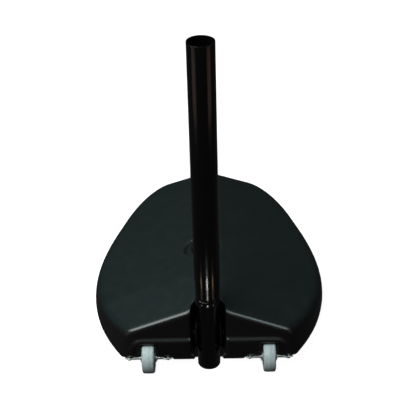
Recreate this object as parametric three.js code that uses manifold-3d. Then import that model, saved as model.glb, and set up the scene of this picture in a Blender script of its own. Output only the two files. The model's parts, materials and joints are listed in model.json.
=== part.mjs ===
// Wheeled, fillable base and lower mast of a free-standing kick target.
//
// Everything is designed about the mast: its axis is X = 0, Y = 0, with +Y towards the front of
// the base, +X to the right of someone who stands behind it, and +Z up from the floor. The last
// lines shift the whole assembly so that the part's origin is the middle of its footprint.
// All sizes are in millimetres.

import * as THREE from "three";
import { LoftGeometry } from "three/addons/geometries/LoftGeometry.js";
import { mergeVertices } from "three/addons/utils/BufferGeometryUtils.js";
import Module from "manifold-3d";

// ---------------------------------------------------------------- driving dimensions

// Gaps between pieces.
const seatGap = 0.3; // between faces that rest on each other
const runningGap = 0.1; // between an axle and its bush
const slipGap = 0.4; // between a plugged tube and its socket
const boltGap = 0.3; // round a bolt or screw in its hole

// Tank, a blow-moulded shell with a pitched top. Its plan is a blunt pick: a straight back, two
// flanks that swell to the widest point, and sides that close in to a blunt nose.
const tankFloor = 28; // underside of the tank's rim above the floor
const tankRear = -24.5; // foot of the rear wall
const tankFront = 588; // tip of the nose
const rearHalfWidth = 175.5;
const flankApex = new THREE.Vector2(299, 157.5); // where flank and side would meet unrounded
const flankRun = 204; // how far the rounding reaches back along the flank
const sideRun = 261; // and forward along the side
const noseHalfWidth = 160; // where side and nose would meet unrounded
const noseSideRun = 140;
const noseFrontRun = 64;
const ridgeHeight = 158; // of the unrounded ridge, at the crease
const creaseY = 105; // the top falls away on both sides of this line
const rearFall = 0.022; // fall of the ridge towards the back, per millimetre
const frontFall = 0.0845; // and towards the nose
const roofPitch = 0.35; // fall of the top towards each side
const sideDraft = 0.14; // lean of the side walls
const rearLean = 0.12; // lean of the rear wall
const leanReach = 150; // how far forward the lean dies away
const rearCornerRun = 12;
const rimRun = 12; // rounding of the bottom rim
const shoulderRun = 16; // rounding where side and top meet
const ridgeRun = 30;
const rearEdgeRadius = 10; // rounding of the top and bottom edges at the back
const noseTopRadius = 10;
const noseFloorRadius = 10;

// Plinth that the tank stands on.
const plinthRear = tankRear + 84.5;
const plinthFront = tankFront - 63;
const plinthRearHalf = rearHalfWidth - 43.5;
const plinthHalf = flankApex.x - 109;
const plinthWideY = flankApex.y + 2.5;
const plinthNoseHalf = noseHalfWidth - 64;
const plinthBevel = 6;

// Mast and the tube that carries it.
const mastRadius = 25.4;
const mastTop = 719;
const tubeWall = 2;
const lowerRadius = mastRadius - 2.4;
const lipRadius = lowerRadius + 1.6;
const lipHeight = 17;
const lowerTop = 174;
const swageTop = 244; // the mast is full size above this
const swageRadius = mastRadius - 1.4; // of the mast where it meets the lip
const plugLength = 68; // of the mast inside the lower tube
const footThickness = 4;
const footPlug = 22;

// Mast bracket and its bolt.
const bracketThickness = 2.5;
const bracketBottom = 60;
const bracketHeight = 44;
const bracketReach = 12; // of the legs behind the mast's axis
const bracketBack = lowerRadius + 3.5; // front of the back plate from the mast's axis
const legInner = lowerRadius + 0.6; // inner face of each leg
const legOuter = legInner + bracketThickness;
const boltRadius = 3;
const boltHeadAcross = 10;
const boltHeadThickness = 4;
const nutThickness = 5;
const washerThickness = 1.2;
const washerRadius = 6.2;
const bracketScrewRadius = 2.2;
const bracketScrewLength = 20;
const bracketScrewHead = 4.2;
const bracketScrewOffset = 14; // above and below the bolt
const washerInner = legOuter + seatGap;
const clampFace = washerInner + washerThickness + seatGap; // that bolt head and nut rest on

// Groove in the back of the tank that the mast stands in.
const nutClearance = 1.1; // between the nut and the groove's side
const grooveHalf = clampFace + nutThickness + nutClearance;
const mouthRadius = 8;
const sillTop = 40;
const notchHalf = lowerRadius + 4.5;

// Wheels and axles.
const wheelY = -20;
const wheelRadius = 31.5;
const wheelZ = wheelRadius + 0.5; // the wheels hang just clear of the floor
const treadWidth = 25;
const treadThickness = 6.3;
const rimThickness = 4.2;
const bossRadius = 9.5;
const bossWidth = 29;
const webThickness = 4;
const spokeCount = 6;
const spokeThickness = 2.4;
const spokeWidth = 18;
const bushWall = 1.9;
const axleRadius = 3;
const axleHalf = 48;
const wheelX = rearHalfWidth - axleHalf - 4.5; // keeps the axle's end inside the tank's edge
const axleRound = 29; // half length of the stretch left round
const flatHalf = 4.4;
const flatThickness = 3;
const axleScrewPlace = 39.5; // from the wheel's middle
const axleScrewRadius = 1.9;
const axleScrewLength = 20;
const axleScrewHead = 3.9;
const axleWasherRadius = 7;
const wellSideGap = 2.5; // between a washer and the well's side
const wellWidth = bossWidth + 2 * (seatGap + washerThickness + wellSideGap);
const wellGap = 4.5; // between tread and well

// Axle block, the step across the foot of the rear wall.
const blockRoof = 11; // plastic above the wheel well
const blockTop = wheelZ + wheelRadius + wellGap + blockRoof;
const blockTopHalf = rearHalfWidth - 25.5;
const blockFace = tankRear;
const blockDepth = 40;
const blockEdge = 4;
const blockCorner = 16;

// Fill cap in its recess beside the ridge.
const capX = -13;
const capY = 222;
const neckRadius = 19;
const neckBore = neckRadius - 4;
const recessFloor = 124;
const neckHeight = 12;
const neckDepth = 30;
const capRadius = neckRadius + 5;
const recessRadius = capRadius + 15; // leaves room for fingers round the cap
const capTopThickness = 3;
const gripDepth = 1.1;
const gripCount = 24;
const gasketThickness = 1.6;

// Fineness of the round surfaces.
const tubeSteps = 36;
const middleSteps = 24;
const smallSteps = 16;

const wasm = await Module();
wasm.setup();

// ---------------------------------------------------------------- helpers

// A closed geometry as a solid that can be joined and cut.
function solid(geometry) {
  const bare = new THREE.BufferGeometry();
  bare.setAttribute("position", geometry.getAttribute("position"));
  bare.setIndex(geometry.index);
  const merged = mergeVertices(bare, 1e-4);
  const corners = merged.index.array;
  const kept = [];
  for (let i = 0; i < corners.length; i += 3) {
    const [a, b, c] = [corners[i], corners[i + 1], corners[i + 2]];
    if (a !== b && b !== c && a !== c) kept.push(a, b, c);
  }
  const vertProperties = new Float32Array(merged.getAttribute("position").array);
  const triVerts = new Uint32Array(kept);
  return new wasm.Manifold(new wasm.Mesh({ numProp: 3, vertProperties, triVerts }));
}

// A solid back as a geometry.
function geometryOf(body) {
  const mesh = body.getMesh();
  const geometry = new THREE.BufferGeometry();
  geometry.setAttribute("position", new THREE.BufferAttribute(mesh.vertProperties, 3));
  geometry.setIndex(new THREE.BufferAttribute(mesh.triVerts, 1));
  geometry.computeVertexNormals();
  return geometry;
}

// The points of a corner eased over the given runs along its two edges. A run takes at most the
// given share of its edge, which leaves room for the corner at the other end.
function softCorner(before, corner, after, runBefore, runAfter, steps, share = 0.49) {
  const towards = (end, run) => {
    const edge = end.clone().sub(corner);
    const length = Math.min(run, edge.length() * share);
    return corner.clone().addScaledVector(edge.normalize(), length);
  };
  const curve = new THREE.QuadraticBezierCurve(
    towards(before, runBefore),
    corner,
    towards(after, runAfter),
  );
  return curve.getPoints(steps);
}

// A closed outline from corners written as [x, y, run]; a run of 0 keeps the corner sharp.
function softOutline(corners, steps = 4) {
  const points = corners.map(([x, y]) => new THREE.Vector2(x, y));
  const count = corners.length;
  return points.flatMap((corner, i) => {
    const run = corners[i][2];
    if (!run) return [corner];
    return softCorner(points[(i + count - 1) % count], corner, points[(i + 1) % count], run, run, steps);
  });
}

// A plate: an outline in X and Y, thickened upwards from z = bottom.
function plate(outline, bottom, thickness, options = {}) {
  const settings = { depth: thickness, bevelEnabled: false, ...options };
  return new THREE.ExtrudeGeometry(new THREE.Shape(outline), settings).translate(0, 0, bottom);
}

// A revolved body about the Z axis, from a closed profile of [radius, height] points.
function turned(profile, steps = tubeSteps) {
  const points = profile.map((p) => (p.isVector2 ? p : new THREE.Vector2(p[0], p[1])));
  if (points[0].x > 0) points.push(points[0].clone());
  return new THREE.LatheGeometry(points, steps).rotateX(Math.PI / 2);
}

// A plain ring about the Z axis.
function ring(outer, inner, bottom, thickness, steps = smallSteps) {
  const top = bottom + thickness;
  return turned([[inner, bottom], [outer, bottom], [outer, top], [inner, top]], steps);
}

// A round bar about the Z axis.
function bar(radius, bottom, length, steps = smallSteps) {
  const cylinder = new THREE.CylinderGeometry(radius, radius, length, steps);
  return cylinder.rotateX(Math.PI / 2).translate(0, 0, bottom + length / 2);
}

function box(low, high) {
  const size = high.map((v, i) => v - low[i]);
  const middle = high.map((v, i) => (v + low[i]) / 2);
  return new THREE.BoxGeometry(...size).translate(...middle);
}

// Turns a body that stands on the Z axis so that it lies along X or Y.
const alongX = (geometry) => geometry.rotateY(Math.PI / 2);
const alongY = (geometry) => geometry.rotateX(-Math.PI / 2);

const union = (bodies) => bodies.reduce((sum, body) => sum.add(body));
const cut = (body, cutters) => cutters.reduce((left, cutter) => left.subtract(cutter), body);

// ---------------------------------------------------------------- materials

const finish = (color, roughness, metalness = 0) => ({ color, roughness, metalness });
const finishes = {
  tankPlastic: finish(0x1c2524, 0.45),
  blackPlastic: finish(0x101112, 0.5),
  mastPaint: finish(0x060709, 0.15),
  zinc: finish(0xb9bcbf, 0.3, 1),
  tyreGrey: finish(0xa3aca8, 0.75),
  hubGrey: finish(0x8f9794, 0.6),
  nylon: finish(0xd8d6cc, 0.5),
  gasketRubber: finish(0x202020, 0.85),
};

const assembly = new THREE.Group();

function piece(name, body, finishName, parent = assembly) {
  const geometry = body.isBufferGeometry ? geometryOf(solid(body)) : geometryOf(body);
  const mesh = new THREE.Mesh(geometry, new THREE.MeshStandardMaterial(finishes[finishName]));
  mesh.name = name;
  parent.add(mesh);
  return mesh;
}

// ---------------------------------------------------------------- tank

// Half the plan outline of the tank's rim, from the back to the nose, as [half width, y].
function planStations() {
  const rear = new THREE.Vector2(0, tankRear);
  const rearCorner = new THREE.Vector2(rearHalfWidth, tankRear);
  const noseCorner = new THREE.Vector2(noseHalfWidth, tankFront);
  const nose = new THREE.Vector2(0, tankFront);
  return [
    ...softCorner(rear, rearCorner, flankApex, rearCornerRun, rearCornerRun, 5),
    ...softCorner(rearCorner, flankApex, noseCorner, flankRun, sideRun, 22, 0.94),
    ...softCorner(flankApex, noseCorner, nose, noseSideRun, noseFrontRun, 10),
  ];
}

// How far a rounded edge has dropped at a distance from the wall it runs into.
function edgeDrop(distance, radius) {
  const left = Math.max(0, radius - distance) / radius;
  return radius * (1 - Math.sqrt(1 - left * left));
}

// One cross-section of the tank, as a closed ring of points at a station along Y.
function tankSection(halfWidth, y) {
  const rearDrop = edgeDrop(y - tankRear, rearEdgeRadius);
  const floor = tankFloor + rearDrop + edgeDrop(tankFront - y, noseFloorRadius);
  const fall = y < creaseY ? rearFall * (creaseY - y) : frontFall * (y - creaseY);
  const top = ridgeHeight - fall - rearDrop - edgeDrop(tankFront - y, noseTopRadius);
  const shoulderX = (halfWidth - sideDraft * (top - floor)) / (1 - sideDraft * roofPitch);
  const middle = new THREE.Vector2(0, floor);
  const foot = new THREE.Vector2(halfWidth, floor);
  const shoulder = new THREE.Vector2(shoulderX, top - roofPitch * shoulderX);
  const ridge = new THREE.Vector2(0, top);
  const farShoulder = new THREE.Vector2(-shoulderX, shoulder.y);
  const ridgePoints = softCorner(shoulder, ridge, farShoulder, ridgeRun, ridgeRun, 4);
  const right = [
    ...softCorner(middle, foot, shoulder, rimRun, rimRun, 4),
    ...softCorner(foot, shoulder, ridge, shoulderRun, shoulderRun, 5),
    ...ridgePoints.slice(0, 2),
  ];
  const left = right.map((p) => new THREE.Vector2(-p.x, p.y)).reverse();
  const rearShare = Math.max(0, 1 - (y - tankRear) / leanReach);
  const noseShare = Math.max(0, 1 - (tankFront - y) / leanReach);
  return [...right, ridgePoints[2], ...left].map((p) => {
    const rise = p.y - tankFloor;
    return new THREE.Vector3(p.x, y + rise * (rearLean * rearShare - sideDraft * noseShare), p.y);
  });
}

// The step across the foot of the rear wall: it slopes out to the full width at its bottom edge.
function axleBlock() {
  const outline = softOutline([
    [-rearHalfWidth, -tankFloor, 0],
    [-blockTopHalf, -blockTop, blockCorner],
    [blockTopHalf, -blockTop, blockCorner],
    [rearHalfWidth, -tankFloor, 0],
  ]);
  const bevel = {
    bevelEnabled: true,
    bevelThickness: blockEdge,
    bevelSize: blockEdge,
    bevelOffset: -blockEdge,
    bevelSegments: 3,
  };
  // The outline is drawn with -z for y, so that standing the plate up puts its top at +Z.
  const standing = plate(outline, blockEdge, blockDepth - 2 * blockEdge, bevel).rotateX(-Math.PI / 2);
  return standing.translate(0, blockFace, 0);
}

// The raised foot under the tank, with its lower edge bevelled.
function plinth() {
  const half = [
    [plinthRearHalf, plinthRear, 30],
    [plinthHalf, plinthWideY, 90],
    [plinthNoseHalf, plinthFront, 50],
  ];
  const mirrored = half.map(([x, y, run]) => [-x, y, run]).reverse();
  const bevel = {
    bevelEnabled: true,
    bevelThickness: plinthBevel,
    bevelSize: plinthBevel,
    bevelOffset: -plinthBevel,
    bevelSegments: 2,
  };
  const overlap = 20; // how far the plinth reaches up into the tank
  const thickness = tankFloor + overlap - 2 * plinthBevel;
  return plate(softOutline([...half, ...mirrored], 6), plinthBevel, thickness, bevel);
}

// The straight part of the groove: a U about the mast's axis, open to the back.
function uCutter(half, bottom, height) {
  const outline = new THREE.Shape();
  outline.moveTo(-half, tankRear * 2);
  outline.lineTo(half, tankRear * 2);
  outline.lineTo(half, 0);
  outline.absarc(0, 0, half, 0, Math.PI, false);
  outline.closePath();
  const settings = { depth: height, bevelEnabled: false, curveSegments: 10 };
  return solid(new THREE.ExtrudeGeometry(outline, settings).translate(0, 0, bottom));
}

// The flare that rounds the groove's two edges where it meets a wall leaning by `lean`.
function mouthCutter(wall, lean, bottom, height) {
  const outer = grooveHalf + mouthRadius;
  const outline = new THREE.Shape();
  outline.moveTo(-outer, wall - mouthRadius);
  outline.lineTo(outer, wall - mouthRadius);
  outline.lineTo(outer, wall);
  outline.absarc(outer, wall + mouthRadius, mouthRadius, -Math.PI / 2, -Math.PI, true);
  outline.lineTo(-grooveHalf, wall + mouthRadius);
  outline.absarc(-outer, wall + mouthRadius, mouthRadius, 0, -Math.PI / 2, true);
  outline.closePath();
  const settings = { depth: height, bevelEnabled: false, curveSegments: 5 };
  const shear = new THREE.Matrix4().set(1, 0, 0, 0, 0, 1, lean, 0, 0, 0, 1, 0, 0, 0, 0, 1);
  const flare = new THREE.ExtrudeGeometry(outline, settings).applyMatrix4(shear);
  return solid(flare.translate(0, lean * (bottom - tankFloor), bottom));
}

// The arched well that a wheel turns in, open downwards and to the back.
function wellCutter(side) {
  const radius = wheelRadius + wellGap;
  const below = tankFloor / 2;
  const arch = new THREE.Shape();
  arch.moveTo(-radius * 2, -below);
  arch.lineTo(radius, -below);
  arch.lineTo(radius, 0);
  arch.absarc(0, 0, radius, 0, Math.PI / 2, false);
  arch.lineTo(-radius * 2, radius);
  arch.closePath();
  const settings = { depth: wellWidth, bevelEnabled: false, curveSegments: 8 };
  // The arch is drawn in Y and Z, then stood up along X.
  const standUp = new THREE.Matrix4().makeBasis(
    new THREE.Vector3(0, 1, 0),
    new THREE.Vector3(0, 0, 1),
    new THREE.Vector3(1, 0, 0),
  );
  const well = new THREE.ExtrudeGeometry(arch, settings).applyMatrix4(standUp);
  return solid(well.translate(side * wheelX - wellWidth / 2, wheelY, wheelZ));
}

// The notch along the bottom edge that an axle lies in, and the pilot holes of its two screws.
function axleCutters(side) {
  const ceiling = wheelZ + axleRadius + boltGap;
  const inner = side * (wheelX - axleHalf - 1.5);
  const outer = side * (rearHalfWidth + 10);
  const notch = box(
    [Math.min(inner, outer), tankRear * 2, 0],
    [Math.max(inner, outer), wheelY + flatHalf + boltGap, ceiling],
  );
  const pilots = [-1, 1].map((end) => {
    const x = side * wheelX + end * axleScrewPlace;
    const depth = axleScrewLength + 2;
    return bar(axleScrewRadius + boltGap, ceiling - 1, depth, 12).translate(x, wheelY, 0);
  });
  return [notch, ...pilots].map(solid);
}

const boltHeight = bracketBottom + bracketHeight / 2;
const padFace = bracketBack + bracketThickness + seatGap;
const bracketScrewHeights = [-1, 1].map((side) => boltHeight + side * bracketScrewOffset);

function tank() {
  const sections = planStations().map((p) => tankSection(p.x, p.y));
  let shell = solid(new LoftGeometry(sections.reverse(), { capStart: true, capEnd: true }));
  shell = union([shell, solid(axleBlock()), solid(plinth())]);
  const height = ridgeHeight * 1.5;
  shell = cut(shell, [
    uCutter(grooveHalf, sillTop, height),
    uCutter(notchHalf, 0, height),
    mouthCutter(blockFace, 0, sillTop, blockTop - sillTop),
    mouthCutter(tankRear, rearLean, blockTop, height),
    ...[-1, 1].map(wellCutter),
    ...[-1, 1].flatMap(axleCutters),
  ]);
  // The flat pad that the mast bracket is screwed to, standing on the groove's rounded back.
  const pad = box(
    [-notchHalf + 4, padFace, bracketBottom - 3],
    [notchHalf - 4, grooveHalf + 3, bracketBottom + bracketHeight + 3],
  );
  const screwHoles = bracketScrewHeights.map((z) =>
    solid(
      alongY(bar(bracketScrewRadius + boltGap, 0, bracketScrewLength + 2, 12)).translate(0, padFace - 1, z),
    ),
  );
  const recess = bar(recessRadius, recessFloor, height, tubeSteps).translate(capX, capY, 0);
  const neck = bar(neckRadius, recessFloor - 1, neckHeight + 1, tubeSteps).translate(capX, capY, 0);
  const bore = bar(neckBore, recessFloor - neckDepth, height, 32).translate(capX, capY, 0);
  shell = cut(shell.add(solid(pad)), [...screwHoles, solid(recess)]);
  return cut(shell.add(solid(neck)), [solid(bore)]);
}

piece("base_tank", tank(), "tankPlastic");

// ---------------------------------------------------------------- fill cap

const neckTop = recessFloor + neckHeight;
const gasketBottom = neckTop + seatGap;
const capUnderside = gasketBottom + gasketThickness + seatGap;

// A screw cap: a cup with gripping flutes round its skirt.
function fillCap() {
  const outline = [];
  const points = gripCount * 4;
  for (let i = 0; i < points; i++) {
    const angle = (i / points) * Math.PI * 2;
    const radius = capRadius - (gripDepth / 2) * (1 - Math.cos(angle * gripCount));
    outline.push(new THREE.Vector2(radius * Math.cos(angle), radius * Math.sin(angle)));
  }
  const skirtBottom = recessFloor + 2;
  const top = capUnderside + capTopThickness;
  const skirt = solid(plate(outline, skirtBottom, top - skirtBottom - 1.5));
  const crown = turned([[0, top - 2.5], [capRadius - gripDepth, top - 2.5], [capRadius - 2.5, top], [0, top]]);
  const hollow = bar(neckRadius + slipGap + 1.2, 0, capUnderside, tubeSteps);
  return cut(skirt.add(solid(crown)), [solid(hollow)]).translate([capX, capY, 0]);
}

piece("fill_cap", fillCap(), "blackPlastic");
const gasket = ring(neckRadius, neckBore + 0.5, gasketBottom, gasketThickness, tubeSteps);
piece("fill_cap_gasket", gasket.translate(capX, capY, 0), "gasketRubber");

// ---------------------------------------------------------------- mast and lower tube

const lowerBore = lowerRadius - tubeWall;
const plugRadius = lowerBore - slipGap;
const boltCutter = () => solid(alongX(bar(boltRadius + boltGap, -60, 120, 16)).translate(0, 0, boltHeight));

// The lower tube ends in a rolled lip that the mast's shoulder sits on.
function lowerTube() {
  const lipBottom = lowerTop - lipHeight;
  const profile = [
    [lowerBore, footThickness + seatGap],
    [lowerRadius, footThickness + seatGap],
    [lowerRadius, lipBottom],
    [lipRadius - 0.4, lipBottom + 1.5],
    [lipRadius, lipBottom + 4],
    [lipRadius, lowerTop - 5],
    [lipRadius - 0.5, lowerTop - 2],
    [lipRadius - 1.8, lowerTop],
    [lowerBore + 0.8, lowerTop],
    [lowerBore, lowerTop - 1.5],
  ];
  return cut(solid(turned(profile)), [boltCutter()]);
}

// The mast tube is swaged in at its foot: a long taper, a shoulder, and a plug for the lower tube.
function mastTube() {
  const shoulder = lowerTop + seatGap;
  const swage = new THREE.CubicBezierCurve(
    new THREE.Vector2(swageRadius, shoulder + 4),
    new THREE.Vector2(swageRadius, shoulder + 30),
    new THREE.Vector2(mastRadius, swageTop - 34),
    new THREE.Vector2(mastRadius, swageTop),
  ).getPoints(6);
  const outside = [
    new THREE.Vector2(plugRadius - 1, shoulder - plugLength),
    new THREE.Vector2(plugRadius, shoulder - plugLength + 3),
    new THREE.Vector2(plugRadius, shoulder),
    new THREE.Vector2(swageRadius - 1.2, shoulder),
    new THREE.Vector2(swageRadius - 0.3, shoulder + 1),
    ...swage,
    new THREE.Vector2(mastRadius, mastTop - 0.6),
    new THREE.Vector2(mastRadius - 0.6, mastTop),
  ];
  const inside = [
    new THREE.Vector2(mastRadius - tubeWall, mastTop),
    ...swage.slice().reverse().map((p) => new THREE.Vector2(p.x - tubeWall, p.y + 1)),
    new THREE.Vector2(plugRadius - tubeWall, shoulder - 3),
    new THREE.Vector2(plugRadius - tubeWall, shoulder - plugLength),
  ];
  return turned([...outside, ...inside]);
}

// A cup pressed into the open foot of the lower tube, with a flange that stands on the floor.
function tubeFootCap() {
  const plug = lowerBore - slipGap;
  const wall = 2.4;
  return turned([
    [0, 0],
    [lowerRadius - 2, 0],
    [lowerRadius - 0.4, 0.8],
    [lowerRadius, 2.2],
    [lowerRadius, footThickness],
    [plug, footThickness],
    [plug, footThickness + footPlug - 1.5],
    [plug - 0.8, footThickness + footPlug],
    [plug - wall, footThickness + footPlug],
    [plug - wall, footThickness],
    [0, footThickness],
  ]);
}

piece("lower_tube", lowerTube(), "mastPaint");
piece("mast_tube", mastTube(), "mastPaint");
piece("tube_foot_cap", tubeFootCap(), "blackPlastic");

// ---------------------------------------------------------------- mast bracket

// A strap bent into a U round the tube, with a hole through both legs and two in its back.
function mastBracket() {
  const backOuter = bracketBack + bracketThickness;
  const bend = legOuter * 0.66; // clears the groove's round back
  const outline = softOutline(
    [
      [legOuter, -bracketReach, 1.5],
      [legOuter, backOuter, bend],
      [-legOuter, backOuter, bend],
      [-legOuter, -bracketReach, 1.5],
      [-legInner, -bracketReach, 0.5],
      [-legInner, bracketBack, bend - bracketThickness],
      [legInner, bracketBack, bend - bracketThickness],
      [legInner, -bracketReach, 0.5],
    ],
    5,
  );
  const screwHoles = bracketScrewHeights.map((z) =>
    solid(alongY(bar(bracketScrewRadius + boltGap, 0, 20, 12)).translate(0, bracketBack - 10, z)),
  );
  return cut(solid(plate(outline, bracketBottom, bracketHeight)), [boltCutter(), ...screwHoles]);
}

piece("mast_bracket", mastBracket(), "zinc");

// A pan-head screw that stands on z = 0 with its shank pointing up and its head below.
function panScrew(headRadius, headThickness, shankRadius, shankLength) {
  return turned(
    [
      [0, -headThickness],
      [headRadius * 0.55, -headThickness],
      [headRadius * 0.9, -headThickness * 0.72],
      [headRadius, -headThickness * 0.3],
      [headRadius, 0],
      [shankRadius, 0],
      [shankRadius, shankLength - shankRadius * 1.5],
      [shankRadius * 0.25, shankLength],
      [0, shankLength],
    ],
    14,
  );
}

bracketScrewHeights.forEach((z, i) => {
  const head = bracketBack - lowerRadius - 2 * seatGap - 0.4;
  const screw = alongY(panScrew(bracketScrewHead, head, bracketScrewRadius, bracketScrewLength));
  const name = ["bracket_screw_lower", "bracket_screw_upper"][i];
  piece(name, screw.translate(0, bracketBack - seatGap, z), "zinc");
});

// The cross bolt, with its head on the right, a washer under head and nut, and the nut on the left.
const hexRadius = boltHeadAcross / 2 / Math.cos(Math.PI / 6);

function hexPrism(bottom, thickness) {
  const outline = [];
  for (let i = 0; i < 6; i++) {
    const angle = (i * Math.PI) / 3;
    outline.push(new THREE.Vector2(hexRadius * Math.cos(angle), hexRadius * Math.sin(angle)));
  }
  return solid(plate(outline, bottom, thickness));
}

function mastBolt() {
  const shankStart = -(clampFace + nutThickness + 0.5);
  const shank = bar(boltRadius, shankStart, clampFace - shankStart + 1);
  return union([hexPrism(clampFace, boltHeadThickness), solid(shank)]);
}

function mastNut() {
  const bore = bar(boltRadius + boltGap, -50, 100);
  return cut(hexPrism(-clampFace - nutThickness, nutThickness), [solid(bore)]);
}

const crossBolt = new THREE.Group();
crossBolt.rotation.y = Math.PI / 2;
crossBolt.position.z = boltHeight;
assembly.add(crossBolt);
piece("mast_bolt", mastBolt(), "zinc", crossBolt);
piece("mast_bolt_nut", mastNut(), "zinc", crossBolt);
const boltWasher = (bottom) => ring(washerRadius, boltRadius + boltGap, bottom, washerThickness);
piece("mast_bolt_washer_right", boltWasher(washerInner), "zinc", crossBolt);
piece("mast_bolt_washer_left", boltWasher(-washerInner - washerThickness), "zinc", crossBolt);

// ---------------------------------------------------------------- wheels

const tyreBore = wheelRadius - treadThickness;
const hubOuter = tyreBore - seatGap;
const bushRadius = axleRadius + runningGap + bushWall;

function wheelTyre() {
  const half = treadWidth / 2;
  return turned([
    [tyreBore, -half + 1],
    [wheelRadius - 4.5, -half],
    [wheelRadius - 1.6, -half + 1],
    [wheelRadius, -half + 4],
    [wheelRadius, half - 4],
    [wheelRadius - 1.6, half - 1],
    [wheelRadius - 4.5, half],
    [tyreBore, half - 1],
  ]);
}

// The hub: a rim and a boss joined by a thin web, with spokes standing out of it on both sides.
function wheelHub() {
  const rimHalf = treadWidth / 2 - 0.8;
  const rimInner = hubOuter - rimThickness;
  const boreRadius = bushRadius + seatGap;
  const rim = ring(hubOuter, rimInner, -rimHalf, rimHalf * 2, tubeSteps);
  const boss = ring(bossRadius, boreRadius, -bossWidth / 2, bossWidth, middleSteps);
  const web = ring(rimInner + 1, bossRadius - 1, -webThickness / 2, webThickness, tubeSteps);
  const spokes = [];
  for (let i = 0; i < spokeCount; i++) {
    const spoke = box(
      [bossRadius - 1, -spokeThickness / 2, -spokeWidth / 2],
      [rimInner + 1, spokeThickness / 2, spokeWidth / 2],
    );
    spokes.push(spoke.rotateZ((i * 2 * Math.PI) / spokeCount));
  }
  return union([rim, boss, web, ...spokes].map(solid));
}

const wheelBush = () => ring(bushRadius, axleRadius + runningGap, -bossWidth / 2, bossWidth, middleSteps);

// The axle is a rod with both ends beaten flat and drilled for a screw. Its local Z is the rod's
// length and its local X points up.
function wheelAxle() {
  const rod = bar(axleRadius, -axleRound - 4, (axleRound + 4) * 2);
  const flats = [-1, 1].map((end) => {
    const outline = softOutline(
      [
        [-axleRadius * 0.9, end * (axleRound - 1), 0],
        [-flatHalf, end * (axleRound + 6), 3],
        [-flatHalf, end * (axleHalf - 6), 3],
        [-1.4, end * axleHalf, 1],
        [1.4, end * axleHalf, 1],
        [flatHalf, end * (axleHalf - 6), 3],
        [flatHalf, end * (axleRound + 6), 3],
        [axleRadius * 0.9, end * (axleRound - 1), 0],
      ],
      3,
    );
    const flat = plate(outline, -flatThickness / 2, flatThickness);
    const hole = bar(axleScrewRadius + boltGap, -10, 20, 16).translate(0, end * axleScrewPlace, 0);
    return { flat, hole };
  });
  // The flats are drawn in X and Y, so they are turned to lie along Z with their faces up and down.
  const lay = new THREE.Matrix4().makeBasis(
    new THREE.Vector3(0, 1, 0),
    new THREE.Vector3(0, 0, 1),
    new THREE.Vector3(1, 0, 0),
  );
  const body = union([solid(rod), ...flats.map(({ flat }) => solid(flat.applyMatrix4(lay)))]);
  return cut(body, flats.map(({ hole }) => solid(hole.applyMatrix4(lay))));
}

[["left", -1], ["right", 1]].forEach(([name, side]) => {
  const wheel = new THREE.Group();
  wheel.rotation.y = Math.PI / 2;
  wheel.position.set(side * wheelX, wheelY, wheelZ);
  assembly.add(wheel);
  piece(name + "_wheel_tyre", wheelTyre(), "tyreGrey", wheel);
  piece(name + "_wheel_hub", wheelHub(), "hubGrey", wheel);
  piece(name + "_wheel_bush", wheelBush(), "nylon", wheel);
  piece(name + "_wheel_axle", wheelAxle(), "zinc", wheel);
  [["inner", -side], ["outer", side]].forEach(([place, end]) => {
    const face = end * (bossWidth / 2 + seatGap);
    const bottom = Math.min(face, face + end * washerThickness);
    const washer = ring(axleWasherRadius, axleRadius + boltGap, bottom, washerThickness);
    piece(name + "_axle_washer_" + place, washer, "zinc", wheel);
    const screw = panScrew(axleScrewHead, 2.2, axleScrewRadius, axleScrewLength);
    const x = side * wheelX + end * axleScrewPlace;
    screw.translate(x, wheelY, wheelZ - flatThickness / 2 - seatGap);
    piece(name + "_axle_screw_" + place, screw, "zinc");
  });
});

// ---------------------------------------------------------------- the part

// The wheels reach furthest back and the nose furthest forward.
const rearReach = wheelY - wheelRadius;
assembly.position.y = -(rearReach + tankFront) / 2;

const part = new THREE.Group();
part.add(assembly);

export default part;
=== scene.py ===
# %% [markdown]
# # The base of a free-standing kick target
#
# The object is a low plastic tank, taken to be one that is filled with water or sand, with two
# small wheels at its back edge so that it can be tipped and rolled away, and a steel mast that
# carries the target. A CAD model gives the main sizes. This script loads that model as a frame and
# builds what the eye sees around it: softer shapes, real edges and worked-out surface finishes.

import json
import math

import bmesh
import bpy
from mathutils import Matrix, Vector

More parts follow.
